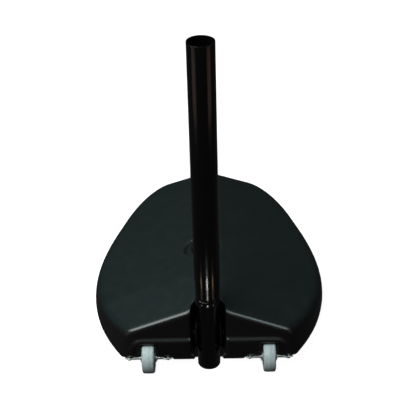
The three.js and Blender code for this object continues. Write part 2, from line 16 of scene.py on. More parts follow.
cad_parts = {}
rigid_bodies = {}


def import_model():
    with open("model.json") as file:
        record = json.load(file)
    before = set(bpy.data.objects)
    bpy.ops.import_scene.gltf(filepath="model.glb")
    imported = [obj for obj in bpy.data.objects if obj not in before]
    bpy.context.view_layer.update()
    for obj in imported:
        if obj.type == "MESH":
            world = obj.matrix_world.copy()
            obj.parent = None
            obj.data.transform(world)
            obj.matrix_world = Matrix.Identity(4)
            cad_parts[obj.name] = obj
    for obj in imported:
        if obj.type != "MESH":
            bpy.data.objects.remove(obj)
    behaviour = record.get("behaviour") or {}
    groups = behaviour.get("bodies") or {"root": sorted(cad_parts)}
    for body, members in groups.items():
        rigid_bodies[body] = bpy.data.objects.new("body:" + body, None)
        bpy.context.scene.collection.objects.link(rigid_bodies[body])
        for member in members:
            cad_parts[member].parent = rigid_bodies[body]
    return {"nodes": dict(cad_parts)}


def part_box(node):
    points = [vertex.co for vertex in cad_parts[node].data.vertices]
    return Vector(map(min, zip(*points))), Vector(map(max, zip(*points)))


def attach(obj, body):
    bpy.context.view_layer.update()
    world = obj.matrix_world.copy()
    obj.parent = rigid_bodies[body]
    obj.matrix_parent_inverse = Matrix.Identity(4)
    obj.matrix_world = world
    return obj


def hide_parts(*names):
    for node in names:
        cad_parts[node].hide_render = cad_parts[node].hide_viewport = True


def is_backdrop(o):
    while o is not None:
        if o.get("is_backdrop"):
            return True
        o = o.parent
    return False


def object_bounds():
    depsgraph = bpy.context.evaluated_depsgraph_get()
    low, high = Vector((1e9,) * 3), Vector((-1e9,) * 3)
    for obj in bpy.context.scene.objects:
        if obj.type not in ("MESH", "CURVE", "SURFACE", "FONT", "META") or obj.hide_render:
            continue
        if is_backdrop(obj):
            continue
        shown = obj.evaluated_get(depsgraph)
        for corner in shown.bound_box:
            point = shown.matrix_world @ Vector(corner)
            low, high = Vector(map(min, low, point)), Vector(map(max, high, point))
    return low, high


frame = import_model()
cad_low, cad_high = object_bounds()

# %% [markdown]
# Shapes are drawn in millimetres, the unit that such parts are drawn in on paper, and turned into
# metres when they are put in place. The functions below read a CAD node's box, so that each piece
# takes its main sizes and its seat from the frame. Edge radii and the small details that the CAD
# model leaves out are set here.


# %% Read sizes off the frame
def low(node):
    """The lowest corner of a CAD node's box, in millimetres."""
    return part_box(node)[0] * 1000


def high(node):
    """The highest corner of a CAD node's box, in millimetres."""
    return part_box(node)[1] * 1000


def middle(node):
    return (low(node) + high(node)) / 2


def span(node):
    return high(node) - low(node)


mast_radius = span("mast_tube").x / 2
wheel_radius = span("left_wheel_tyre").z / 2
print(f"mast {2 * mast_radius:.1f} mm thick, wheels {2 * wheel_radius:.1f} mm across")

# %% [markdown]
# ## Working with shader nodes
#
# A surface finish is a small sum: a colour here, a little roughness there, more dust where the
# noise is high. Writing it as a sum is easier to read than a list of nodes. A `Wire` stands for
# one node's output. Adding or multiplying wires adds the Math nodes that do the same.


# %% A wire that can be used in sums
class Wire:
    """One output of a shader node."""

    def __init__(self, finish, socket):
        self.finish = finish
        self.socket = socket

    def maths(self, operation, *values):
        return self.finish.node("ShaderNodeMath", {"operation": operation}, dict(enumerate(values)))

    def __add__(self, other):
        return self.maths("ADD", self, other)

    def __sub__(self, other):
        return self.maths("SUBTRACT", self, other)

    def __rsub__(self, other):
        return self.maths("SUBTRACT", other, self)

    def __mul__(self, other):
        return self.maths("MULTIPLY", self, other)

    def __abs__(self):
        return self.maths("ABSOLUTE", self)

    __radd__ = __add__
    __rmul__ = __mul__


# %% [markdown]
# A `Finish` is a material being put together. Its `node` method adds any node: the settings go in
# first, because they decide which sockets the node has, then the values or wires. The other
# methods are short names for the few patterns that every finish here uses: a noise of a given
# grain in millimetres, a soft threshold, a blend of two colours, and a bump of a given depth.


# %% A finish
class Finish:
    """A material with one Principled shader, and the nodes that feed it."""

    def __init__(self, name, constants):
        self.material = bpy.data.materials.new(name)
        self.material.use_nodes = True
        self.tree = self.material.node_tree
        self.shader = self.tree.nodes["Principled BSDF"]
        for socket, value in constants.items():
            self.shader.inputs[socket].default_value = value
        self.here = self.node("ShaderNodeTexCoord", out="Object")

    def node(self, kind, settings=None, inputs=None, out=0):
        made = self.tree.nodes.new(kind)
        for key, value in (settings or {}).items():
            setattr(made, key, value)
        for key, value in (inputs or {}).items():
            if isinstance(value, Wire):
                self.tree.links.new(value.socket, made.inputs[key])
            else:
                made.inputs[key].default_value = value
        return Wire(self, made.outputs[out])

    def noise(self, grain, detail=2.0, stretch=(1, 1, 1), shift=0.0):
        """A noise whose lumps are about `grain` millimetres, longer along a stretched axis."""
        scale = [1 / s for s in stretch]
        mapping = {"Vector": self.here, "Scale": scale, "Location": (shift, shift, shift)}
        place = self.node("ShaderNodeMapping", None, mapping)
        inputs = {"Vector": place, "Scale": 1000 / grain, "Detail": detail}
        return self.node("ShaderNodeTexNoise", None, inputs)

    def step(self, value, start, end):
        """0 below start, 1 above end, and a soft rise between them."""
        settings = {"interpolation_type": "SMOOTHSTEP"}
        return self.node("ShaderNodeMapRange", settings, {0: value, 1: start, 2: end, 3: 0, 4: 1})

    def blend(self, mask, first, second):
        """The first colour where the mask is 0 and the second where it is 1."""
        first, second = [c if isinstance(c, Wire) else (*c, 1) for c in (first, second)]
        return self.node("ShaderNodeMix", {"data_type": "RGBA"}, {0: mask, 6: first, 7: second}, out=2)

    def bump(self, height, depth, under=None):
        """A normal for a height of 0 to 1 that stands for `depth` millimetres."""
        inputs = {"Height": height, "Distance": depth / 1000, "Strength": 1.0}
        if under:
            inputs["Normal"] = under
        return self.node("ShaderNodeBump", None, inputs)

    def feed(self, **wires):
        """Connects wires to the shader: colour, roughness, metallic and normal."""
        names = {"colour": "Base Color", "roughness": "Roughness", "metallic": "Metallic", "normal": "Normal"}
        for key, wire in wires.items():
            self.tree.links.new(wire.socket, self.shader.inputs[names[key]])
        print(f"finish {self.material.name}: {len(self.tree.nodes)} nodes")
        return self.material


# %% [markdown]
# ## The tank's plastic
#
# The tank is blow-moulded polyethylene, coloured through, so wear doesn't show another colour. It
# shows instead as a change of gloss. Four things make it look right: a fine stipple from the
# sand-blasted mould, long shallow waves where the plastic shrank unevenly as it cooled, faint
# rubbed streaks, and a little dust that only settles on what faces upwards. What faces upwards is
# also painted a lighter, greenish tone: a painted tint for the cool light that those faces catch.

# %% Tank plastic
tank_finish = Finish("tank_plastic", {"IOR": 1.5, "Specular IOR Level": 0.42})
cloud = tank_finish.noise(85, detail=3)
patch = tank_finish.noise(28, detail=4, shift=3.1)
stipple = tank_finish.noise(0.9, detail=1)
wave = tank_finish.noise(60, detail=1, shift=1.7)
rub = tank_finish.step(tank_finish.noise(5, detail=4, stretch=(1, 9, 1), shift=7.7), 0.62, 0.8)
speck = tank_finish.step(tank_finish.noise(2.4, detail=1, shift=5.5), 0.73, 0.79)
facing = tank_finish.node("ShaderNodeNewGeometry", out="Normal")
upwards = tank_finish.node("ShaderNodeSeparateXYZ", None, {"Vector": facing}, out="Z")
flat_top = tank_finish.step(upwards, 0.88, 0.96)
dust = tank_finish.step(upwards, 0.55, 0.98) * tank_finish.step(patch, 0.4, 0.75)
# The tops are painted lighter and greener than the walls. This tint is painted light, standing for the cool
# light that the upward faces catch. The walls keep the plastic's own near-neutral black.
top = tank_finish.blend(cloud, (0.0112, 0.0212, 0.0208), (0.0148, 0.0266, 0.0262))
wall_side = tank_finish.blend(cloud, (0.0082, 0.0072, 0.0076), (0.0106, 0.0098, 0.0100))
plain = tank_finish.blend(tank_finish.step(upwards, 0.35, 0.9), wall_side, top)
dust_over_painted_top_tint = tank_finish.blend(dust * 0.008 + speck * dust * 0.05, plain, (0.26, 0.30, 0.29))
tank_plastic = tank_finish.feed(
    colour=dust_over_painted_top_tint,
    roughness=0.26 + flat_top * 0.14 + cloud * 0.06 + dust * 0.04 - rub * 0.05,
    normal=tank_finish.bump(stipple, 0.03, tank_finish.bump(wave, 0.5)),
)

# %% [markdown]
# ## Gloss powder coat
#
# The mast is powder-coated steel. The powder melts into a thick, glossy skin with a faint ripple
# called orange peel. The ripple is what bends the long reflections on a tube, so it matters more
# than the colour, which is nearly black.

# %% Mast paint
paint_finish = Finish(
    "mast_paint",
    {"IOR": 1.5, "Coat Weight": 0.2, "Coat Roughness": 0.05, "Specular IOR Level": 0.45},
)
peel = paint_finish.noise(2.6, detail=2)
smear = paint_finish.noise(30, detail=4, stretch=(1, 1, 4))
lint = paint_finish.step(paint_finish.noise(1.6, detail=1, shift=2.3), 0.745, 0.79)
coat_colour = paint_finish.blend(smear, (0.0012, 0.0013, 0.0017), (0.0024, 0.0024, 0.0028))
mast_paint = paint_finish.feed(
    colour=paint_finish.blend(lint * 0.1, coat_colour, (0.25, 0.24, 0.22)),
    roughness=0.13 + smear * 0.1 + lint * 0.2,
    normal=paint_finish.bump(peel, 0.018),
)

# %% [markdown]
# ## Bright zinc plate
#
# The axles and their screws and washers are plated with zinc. The plate is nearly white metal
# with a bluish or yellowish cast from its passivation bath, drawn out along the rolling marks of
# the steel, and it dulls unevenly in use.

# %% Zinc plate
zinc_finish = Finish("zinc_plate", {"IOR": 1.8, "Metallic": 1.0})
bath = zinc_finish.noise(9, detail=3)
grit = zinc_finish.noise(0.7, detail=3)
drawn = zinc_finish.noise(1.2, detail=2, stretch=(12, 1, 1))
dull = zinc_finish.step(zinc_finish.noise(4, detail=4, shift=4.1), 0.5, 0.75)
plate_colour = zinc_finish.blend(bath, (0.42, 0.48, 0.48), (0.56, 0.56, 0.50))
zinc_plate = zinc_finish.feed(
    colour=zinc_finish.blend(dull * 0.6, plate_colour, (0.17, 0.18, 0.17)),
    roughness=0.26 + dull * 0.22 + drawn * 0.12,
    normal=zinc_finish.bump(grit, 0.012, zinc_finish.bump(drawn, 0.02)),
)

# %% [markdown]
# ## The plastics and rubbers of the small parts
#
# The tread is a grey thermoplastic rubber. It has rolled over gym floors, so dirt sits in the
# fine pores of its running face and along its two shoulders. Distances from the axle and from
# the wheel's middle plane are worked out from the object's own coordinates, so the dirt turns
# with the wheel.

# %% Tread rubber
axle_place = middle("left_wheel_axle")
tread_half = span("left_wheel_tyre").x / 2
tread_finish = Finish("wheel_tread", {"IOR": 1.5, "Specular IOR Level": 0.45})
offset = {"Vector": tread_finish.here, "Location": (0, -axle_place.y / 1000, -axle_place.z / 1000)}
about_axle = tread_finish.node("ShaderNodeMapping", None, offset)
flat = {0: about_axle, 1: (0, 1, 1)}
radial = tread_finish.node("ShaderNodeVectorMath", {"operation": "MULTIPLY"}, flat)
reach = tread_finish.node("ShaderNodeVectorMath", {"operation": "LENGTH"}, {0: radial}, out="Value")
across = tread_finish.node("ShaderNodeSeparateXYZ", None, {"Vector": tread_finish.here}, out="X")
from_middle = abs(abs(across) - abs(axle_place.x) / 1000)
running = tread_finish.step(reach, (wheel_radius - 2.5) / 1000, (wheel_radius - 0.4) / 1000)
shoulder = tread_finish.step(from_middle, (tread_half - 4.5) / 1000, (tread_half - 1) / 1000)
grime = tread_finish.step(tread_finish.noise(5, detail=5, stretch=(0.5, 1, 1)), 0.42, 0.72)
pores = tread_finish.noise(0.55, detail=2)
fleck = tread_finish.step(tread_finish.noise(1.1, detail=2, shift=6.2), 0.66, 0.72)
dirt = grime * running * 0.28 + shoulder * grime * 0.4 + fleck * running * 0.35
wheel_tread = tread_finish.feed(
    colour=tread_finish.blend(dirt, (0.53, 0.65, 0.655), (0.12, 0.13, 0.12)),
    roughness=0.5 + grime * 0.2 - running * 0.06,
    normal=tread_finish.bump(pores, 0.03, tread_finish.bump(grime, 0.05)),
)


# %% [markdown]
# The other small finishes differ only in colour, gloss and grain, so one function makes them. Each
# still has its own cloudiness, its own grain and a few rubbed places. Black zinc, the dull plate
# on the bracket and its fasteners, isn't a moulding, but it is just as dark and plain.


# %% Moulded plastics
def moulding(name, dark, light, roughness, grain, depth):
    """A plain finish with a mottled colour and a grain in millimetres."""
    finish = Finish(name, {"IOR": 1.48, "Specular IOR Level": 0.45})
    mottle = finish.noise(14, detail=4)
    skin = finish.noise(grain, detail=2)
    rubbed = finish.step(finish.noise(6, detail=4, stretch=(1, 3, 1), shift=8.3), 0.55, 0.75)
    return finish.feed(
        colour=finish.blend(mottle, dark, light),
        roughness=roughness + mottle * 0.1 - rubbed * 0.12,
        normal=finish.bump(skin, depth),
    )


wheel_hub = moulding("wheel_hub", (0.27, 0.31, 0.30), (0.36, 0.41, 0.40), 0.45, 1.1, 0.03)
nylon_bush = moulding("nylon_bush", (0.55, 0.54, 0.48), (0.68, 0.66, 0.6), 0.4, 0.8, 0.015)
black_plastic = moulding("black_plastic", (0.0075, 0.0075, 0.0085), (0.013, 0.0125, 0.0135), 0.34, 0.9, 0.03)
black_zinc = moulding("black_zinc", (0.0035, 0.0035, 0.0040), (0.0065, 0.0062, 0.0065), 0.75, 0.5, 0.01)
gasket_rubber = moulding("gasket_rubber", (0.010, 0.010, 0.010), (0.019, 0.018, 0.017), 0.7, 0.6, 0.03)

finishes = {
    "black_zinc": black_zinc,
    "tank_plastic": tank_plastic,
    "mast_paint": mast_paint,
    "zinc_plate": zinc_plate,
    "wheel_tread": wheel_tread,
    "wheel_hub": wheel_hub,
    "nylon_bush": nylon_bush,
    "black_plastic": black_plastic,
    "gasket_rubber": gasket_rubber,
}
print(len(finishes), "finishes")

# %% [markdown]
# ## Putting a finished shape in place
#
# Every piece ends the same way. Its shape, drawn about its own axis in millimetres, is turned to
# lie along the axis it has on the object and moved to its seat. Corners sharper than a set angle
# stay crisp and the rest is shaded smooth. Then the piece is attached to the body that carries it,
# and the CAD node it stands for is hidden.

# %% Seat a piece
turn_to = {
    "X": Matrix.Rotation(math.pi / 2, 4, "Y"),
    "-X": Matrix.Rotation(-math.pi / 2, 4, "Y"),
    "Y": Matrix.Rotation(-math.pi / 2, 4, "X"),
    "Z": Matrix.Identity(4),
}
crisp_angle = math.radians(38)


def seat(bm, name, node, body, finish_name, at=(0, 0, 0), axis="Z"):
    """Turns the shape into an object that replaces a CAD node and rides on a body."""
    matrix = Matrix.Scale(0.001, 4) @ Matrix.Translation(at) @ turn_to[axis]
    bmesh.ops.transform(bm, matrix=matrix, verts=bm.verts)
    for face in bm.faces:
        face.smooth = True
    for edge in bm.edges:
        edge.smooth = len(edge.link_faces) == 2 and edge.calc_face_angle() < crisp_angle
    mesh = bpy.data.meshes.new(name)
    bm.to_mesh(mesh)
    bm.free()
    mesh.materials.append(finishes[finish_name])
    piece = bpy.data.objects.new(name, mesh)
    bpy.context.scene.collection.objects.link(piece)
    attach(piece, body)
    if node:
        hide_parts(node)
    print(f"{name}: {len(mesh.polygons)} faces on {body}")
    return piece


# %% [markdown]
# ## The tank
#
# A blow-moulded tank has no hard edge anywhere: hot plastic is blown against the mould and can't
# fill a sharp corner. It could be modelled again as a subdivision surface, but the grooves and
# wheel wells cross its edges at odd angles. A voxel remesh suits it better. It wraps the CAD
# solid in an even skin of small squares, and a few rounds of smoothing then draw every corner
# into the small, uneven radius that the real process leaves. Smoothing would also pull the roof
# of each axle's notch down over the axle, so that roof is raised in the draft first.

# %% Wrap the tank in an even skin
voxel = 2.9  # side of the skin's squares
rounds = 4
draft = bmesh.new()
draft.from_mesh(frame["nodes"]["base_tank"].data)
bmesh.ops.remove_doubles(draft, verts=draft.verts, dist=1e-6)
notch_roof = high("left_wheel_axle").z + 0.3
notch_lift = 2.2
notch_depth = high("left_wheel_axle").y + 2
for v in draft.verts:
    if abs(v.co.z * 1000 - notch_roof) < 0.05 and v.co.y * 1000 < notch_depth:
        v.co.z += notch_lift / 1000
draft_mesh = bpy.data.meshes.new("tank_draft")
draft.to_mesh(draft_mesh)
draft.free()
draft_piece = bpy.data.objects.new("tank_draft", draft_mesh)
bpy.context.scene.collection.objects.link(draft_piece)
wrap = draft_piece.modifiers.new("wrap", "REMESH")
wrap.mode = "VOXEL"
wrap.voxel_size = voxel / 1000
wrapped = draft_piece.evaluated_get(bpy.context.evaluated_depsgraph_get())
skin = bmesh.new()
skin.from_mesh(wrapped.to_mesh())
bpy.data.objects.remove(draft_piece)
print("skin:", len(skin.faces), "squares")

# %% Smooth the skin and seat it
for _ in range(rounds):
    bmesh.ops.smooth_vert(
        skin, verts=skin.verts, factor=0.5, use_axis_x=True, use_axis_y=True, use_axis_z=True
    )
bmesh.ops.scale(skin, vec=(1000, 1000, 1000), verts=skin.verts)
tank_shell = seat(skin, "tank_shell", "base_tank", "base", "tank_plastic")
print("tank:", [round(v, 3) for v in tank_shell.dimensions])

# %% [markdown]
# ## Turned pieces
#
# Tubes, wheels, washers and screws are all round, so one function makes them: half of the section
# is drawn as a line and spun about the axis, as on a lathe. The corners of the section are then
# bevelled, because a real edge always has a small radius that catches the light.


# %% Spin a section
def turned(section, steps=96, edge=0.0, solid=False):
    """Spins a section of (radius, height) points about Z. A solid one starts and ends on the axis."""
    bm = bmesh.new()
    points = [bm.verts.new((radius, 0, height)) for radius, height in section]
    ends = points[1:] if solid else points[1:] + points[:1]
    lines = [bm.edges.new(pair) for pair in zip(points, ends)]
    bmesh.ops.spin(
        bm,
        geom=points + lines,
        cent=(0, 0, 0),
        axis=(0, 0, 1),
        angle=2 * math.pi,
        steps=steps,
        use_merge=True,
    )
    bmesh.ops.remove_doubles(bm, verts=bm.verts, dist=1e-4)
    bmesh.ops.recalc_face_normals(bm, faces=bm.faces)
    if edge:
        soften(bm, edge)
    return bm


def soften(bm, width, limit=24, segments=3):
    """Bevels every edge that turns by more than the limit, in degrees."""
    corners = [e for e in bm.edges if e.is_manifold and e.calc_face_angle() > math.radians(limit)]
    bmesh.ops.bevel(
        bm,
        geom=corners,
        offset=width,
        offset_type="OFFSET",
        affect="EDGES",
        segments=segments,
        profile=0.5,
        material=-1,
        clamp_overlap=True,
    )


def eased(start, first, second, end, steps):
    """Points along a cubic curve, for a section that swells gently."""
    corners = [Vector(p).to_3d() for p in (start, first, second, end)]
    curve = []
    for i in range(steps + 1):
        t = i / steps
        weights = ((1 - t) ** 3, 3 * t * (1 - t) ** 2, 3 * t * t * (1 - t), t**3)
        point = sum((w * c for w, c in zip(weights, corners)), Vector())
        curve.append((point.x, point.y))
    return curve


# %% [markdown]
# ## The mast
#
# The mast comes in two tubes. The lower one stands in the tank's groove and ends in a thick rolled
# lip. The upper one is squeezed at its foot, which the trade calls swaging: its wall narrows in a
# long taper to a shoulder that sits on the lip, and below that to a plug that slides inside.

# %% Lower tube with its lip
mast_axis = Vector((middle("mast_tube").x, middle("mast_tube").y, 0))
wall = 2.0
lip_radius = span("lower_tube").x / 2
lower_radius = lip_radius - 1.6
lower_foot, lower_top = low("lower_tube").z, high("lower_tube").z
lip_section = [
    (lower_radius - wall, lower_foot),
    (lower_radius, lower_foot),
    (lower_radius, lower_top - 19.5),
    (lower_radius + 0.35, lower_top - 17.6),
    (lip_radius - 0.5, lower_top - 16.6),
    (lip_radius - 0.16, lower_top - 14),
    (lip_radius, lower_top - 11),
    (lip_radius - 0.1, lower_top - 6.5),
    (lip_radius - 0.4, lower_top - 2.6),
    (lip_radius - 1.3, lower_top - 0.7),
    (lip_radius - 2.3, lower_top),
    (lower_radius - wall + 0.8, lower_top),
    (lower_radius - wall, lower_top - 1.5),
]
seat(turned(lip_section, 128, 0.15), "lower_tube_lip", "lower_tube", "base", "mast_paint", mast_axis)

# %% Mast tube with its swaged foot
mast_top = high("mast_tube").z
plug_foot = low("mast_tube").z
shoulder_z = lower_top + 0.3
swage_radius = mast_radius - 1.4
swage_top = shoulder_z + 70
taper = eased(
    (swage_radius, shoulder_z + 4),
    (swage_radius, shoulder_z + 30),
    (mast_radius, swage_top - 34),
    (mast_radius, swage_top),
    14,
)
plug_radius = lower_radius - wall - 0.4
mast_section = [
    (plug_radius - 1, plug_foot),
    (plug_radius, plug_foot + 3),
    (plug_radius, shoulder_z),
    (swage_radius - 1.3, shoulder_z),
    (swage_radius - 0.45, shoulder_z + 0.8),
    (swage_radius - 0.1, shoulder_z + 2.2),
    *taper,
    (mast_radius, mast_top),
    (mast_radius - wall, mast_top),
    *[(radius - wall, height + 1) for radius, height in reversed(taper)],
    (plug_radius - wall, shoulder_z - 3),
    (plug_radius - wall, plug_foot),
]
seat(turned(mast_section, 128, 0.3), "mast_swaged_tube", "mast_tube", "mast", "mast_paint", mast_axis)

# %% [markdown]
# The foot of the lower tube is closed by a pressed-in plastic cup, whose rounded rim is all that
# shows. It keeps water out and stops the steel edge from marking the floor.

# %% Foot cup
foot_radius = span("tube_foot_cap").x / 2
foot_top = high("tube_foot_cap").z
cup = foot_radius - wall - 0.4
foot_section = [
    (0, 0.8),
    (foot_radius - 6, 0.8),
    (foot_radius - 5, 0),
    (foot_radius - 2.6, 0),
    (foot_radius - 0.9, 0.7),
    (foot_radius - 0.1, 2.2),
    (foot_radius, 3.9),
    (cup, 4),
    (cup, foot_top - 1.5),
    (cup - 0.8, foot_top),
    (cup - 2.4, foot_top),
    (cup - 2.4, 4),
    (0, 4),
]
foot = turned(foot_section, 96, 0.2, solid=True)
seat(foot, "tube_foot_cup", "tube_foot_cap", "base", "black_plastic", mast_axis)

# %% [markdown]
# ## Pieces that aren't round
#
# A fluted cap, a six-sided bolt head and a beaten-flat axle end all run along an axis without
# being round about it. They are made as a stack of rings: a circle is extruded ring by ring into
# a plain drum, and then every vertex is moved to where a rule puts it, given its ring and its
# angle. The rule is the only part that differs from piece to piece.


# %% Stack rings
def stacked(rings, steps, place, tunnel=False):
    """A drum of rings, shaped by place(ring, angle). A tunnel joins its last ring to its first."""
    bm = bmesh.new()
    bmesh.ops.create_circle(bm, cap_ends=False, radius=1, segments=steps)
    first = loop = bm.edges[:]
    for _ in rings[1:]:
        grown = bmesh.ops.extrude_edge_only(bm, edges=loop)["geom"]
        rim = [v for v in grown if isinstance(v, bmesh.types.BMVert)]
        bmesh.ops.translate(bm, verts=rim, vec=(0, 0, 1))
        loop = [e for e in grown if isinstance(e, bmesh.types.BMEdge) and set(e.verts) <= set(rim)]
    if tunnel:
        bmesh.ops.bridge_loops(bm, edges=first + loop)
    else:
        bmesh.ops.edgeloop_fill(bm, edges=first)
        bmesh.ops.edgeloop_fill(bm, edges=loop)
    for v in bm.verts:
        v.co = place(rings[round(v.co.z)], math.atan2(v.co.y, v.co.x))
    bmesh.ops.recalc_face_normals(bm, faces=bm.faces)
    return bm


# %% [markdown]
# ## Fill cap, gasket and neck
#
# The tank is filled through a neck in a round recess beside the mast. The cap is turned by hand,
# so it has flutes to grip, which die out in a rounded shoulder below a slightly dished top.

# %% Fluted cap
cap_at = Vector((middle("fill_cap").x, middle("fill_cap").y, 0))
cap_radius = span("fill_cap").x / 2
cap_low, cap_high = low("fill_cap").z, high("fill_cap").z
flutes = 24
hollow = cap_radius - 3.4
cap_rings = [
    (hollow - 1, cap_high - 3, 0),
    (hollow, cap_high - 4, 0),
    (hollow, cap_low + 0.6, 0),
    (hollow + 0.6, cap_low, 0),
    (cap_radius - 0.5, cap_low, 0.5),
    (cap_radius, cap_low + 0.6, 1),
    (cap_radius, cap_high - 3.4, 1),
    (cap_radius - 0.25, cap_high - 2.2, 0.8),
    (cap_radius - 0.9, cap_high - 1.1, 0.45),
    (cap_radius - 2.0, cap_high - 0.3, 0.15),
    (cap_radius - 3.4, cap_high, 0),
    (cap_radius - 6.2, cap_high, 0),
    (cap_radius - 6.9, cap_high - 0.3, 0),
    (cap_radius - 7.4, cap_high - 0.8, 0),
    (cap_radius - 9.5, cap_high - 0.9, 0),
    (2, cap_high - 0.9, 0),
]


def fluted(ring, angle):
    radius, height, depth = ring
    radius -= depth * 0.62 * (1 - math.cos(angle * flutes))
    return Vector((radius * math.cos(angle), radius * math.sin(angle), height))


cap = stacked(cap_rings, flutes * 8, fluted)
seat(cap, "fill_cap_fluted", "fill_cap", "cap", "black_plastic", cap_at)

# %% Gasket
gasket_low, gasket_high = low("fill_cap_gasket").z, high("fill_cap_gasket").z
gasket_outer = span("fill_cap_gasket").x / 2
gasket_bore = gasket_outer - 3.5
gasket_section = [
    (gasket_bore, gasket_low),
    (gasket_outer, gasket_low),
    (gasket_outer, gasket_high),
    (gasket_bore, gasket_high),
]
gasket = turned(gasket_section, 96, 0.35)
seat(gasket, "fill_cap_seal", "fill_cap_gasket", "cap_seal", "gasket_rubber", cap_at)

# %% [markdown]
# The neck carries a coarse thread. Its collar is a plain turned ring, and the thread is one tooth
# spun round it while it climbs by the pitch, which is what a screw is. The collar is shown only
# here: the CAD model leaves the thread out.

# %% Neck with its thread
neck_top = gasket_low - 0.3
neck_foot = neck_top - 13
neck_radius = gasket_outer
neck_bore = neck_radius - 4
collar_section = [
    (neck_bore, neck_foot),
    (neck_radius, neck_foot),
    (neck_radius, neck_top),
    (neck_bore, neck_top),
]
neck = turned(collar_section, 96, 0.4)
pitch = 4.0
thread_turns = 2.0
thread_steps = 120
tooth_outline = [(-0.3, -1.1), (1.0, -0.35), (1.0, 0.35), (-0.3, 1.1)]
tooth_z = neck_top - 2 - pitch * thread_turns
tooth = [neck.verts.new((neck_radius + r, 0, tooth_z + z)) for r, z in tooth_outline]
tooth_face = neck.faces.new(tooth)
bmesh.ops.spin(
    neck,
    geom=[tooth_face],
    cent=(0, 0, 0),
    axis=(0, 0, 1),
    dvec=(0, 0, pitch * thread_turns / thread_steps),
    angle=2 * math.pi * thread_turns,
    steps=thread_steps,
)
bmesh.ops.recalc_face_normals(neck, faces=neck.faces)
seat(neck, "fill_neck_collar", None, "base", "tank_plastic", cap_at)

# %% [markdown]
# ## Screws and the cross bolt
#
# Pan-head screws hold the axles and the bracket. A screw is a turned shape whose top gets a
# cross-shaped recess: four cuts divide the flat of the head into strips, and the strips that make
# up the cross are pushed in.


# %% Pan-head screw
def pan_screw(head_radius, head_height, shank_radius, length):
    """A screw with its head below z = 0 and its shank above."""
    flat = head_radius * 0.62
    outline = [
        (0, -head_height),
        (flat, -head_height),
        (head_radius * 0.86, -head_height * 0.84),
        (head_radius * 0.97, -head_height * 0.55),
        (head_radius, -head_height * 0.2),
        (head_radius * 0.98, 0),
        (shank_radius, 0),
        (shank_radius, length - shank_radius * 1.5),
        (shank_radius * 0.25, length),
        (0, length),
    ]
    bm = turned(outline, 40, solid=True)
    top = [f for f in bm.faces if f.calc_center_median().z < -head_height + 1e-3]
    top = bmesh.ops.dissolve_faces(bm, faces=top)["region"]
    arm, half = flat * 0.8, flat * 0.2
    for normal in ((1, 0, 0), (0, 1, 0)):
        for place in (-arm, -half, half, arm):
            low_face = [f for f in bm.faces if f.calc_center_median().z < -head_height + 1e-3]
            parts = low_face + [e for f in low_face for e in f.edges] + [v for f in low_face for v in f.verts]
            plane = Vector(normal) * place
            bmesh.ops.bisect_plane(bm, geom=list(set(parts)), dist=1e-4, plane_co=plane, plane_no=normal)
    cross = []
    for face in bm.faces:
        at = face.calc_center_median()
        inner, outer = sorted((abs(at.x), abs(at.y)))
        if at.z < -head_height + 1e-3 and inner < half and outer < arm:
            cross.append(face)
    pushed = bmesh.ops.extrude_face_region(bm, geom=cross)["geom"]
    bottom = [v for v in pushed if isinstance(v, bmesh.types.BMVert)]
    bmesh.ops.translate(bm, verts=bottom, vec=(0, 0, head_height * 0.55))
    bmesh.ops.delete(bm, geom=[f for f in cross if f.is_valid], context="FACES_ONLY")
    bmesh.ops.recalc_face_normals(bm, faces=bm.faces)
    return bm


def seat_screw(node, axis, head_height, finish_name):
    """A screw in the box of its CAD node; the head is at the low end of the axis."""
    index = "XYZ".index(axis[-1])
    across = span(node)[(index + 1) % 3] / 2
    at = middle(node)
    at[index] = low(node)[index] + head_height
    length = span(node)[index] - head_height
    screw = pan_screw(across, head_height, across * 0.5, length)
    seat(screw, node + "_pan", node, "base", finish_name, at, axis)


for side in ("left", "right"):
    for place in ("inner", "outer"):
        seat_screw(f"{side}_axle_screw_{place}", "Z", 2.2, "zinc_plate")
for place in ("lower", "upper"):
    seat_screw("bracket_screw_" + place, "Y", 2.5, "black_zinc")

# %% [markdown]
# The mast is locked by one bolt through the bracket's two legs and the tube. A cold-forged hexagon
# head has its corners turned down at 30 degrees, and the nut has the same chamfer on both faces.
# In ring terms, a corner is only as far out as the hexagon allows or as the chamfer's cone does.

# %% Bolt and nut
bolt_at = middle("mast_bolt")
bolt_tip, bolt_end = low("mast_bolt").x - bolt_at.x, high("mast_bolt").x - bolt_at.x
nut_face, nut_seat = low("mast_bolt_nut").x - bolt_at.x, high("mast_bolt_nut").x - bolt_at.x
flat_radius = min(span("mast_bolt").y, span("mast_bolt").z) / 2
shank_radius = 3.0
head_seat = bolt_end - 4.0


def hexagonal(ring, angle):
    """Each ring is (height, radius, hexagon): the hexagon's flats cut the circle where it is True."""
    height, radius, hexagon = ring
    if hexagon:
        sector = (angle + math.pi / 6) % (math.pi / 3) - math.pi / 6
        radius = min(radius, flat_radius / math.cos(sector))
    return Vector((-radius * math.sin(angle), radius * math.cos(angle), height))


corner_radius = flat_radius / math.cos(math.pi / 6)
bolt_rings = [
    (bolt_tip, shank_radius - 0.7, False),
    (bolt_tip + 0.7, shank_radius, False),
    (head_seat, shank_radius, False),
    (head_seat, flat_radius * 0.95, False),
    (head_seat + 0.15, flat_radius * 0.98, False),
    (head_seat + 0.2, corner_radius, True),
    (bolt_end - 0.75, corner_radius, True),
    (bolt_end - 0.3, flat_radius * 1.05, True),
    (bolt_end, flat_radius * 0.93, False),
]
bolt = stacked(bolt_rings, 72, hexagonal)
seat(bolt, "mast_cross_bolt", "mast_bolt", "base", "black_zinc", bolt_at, "X")

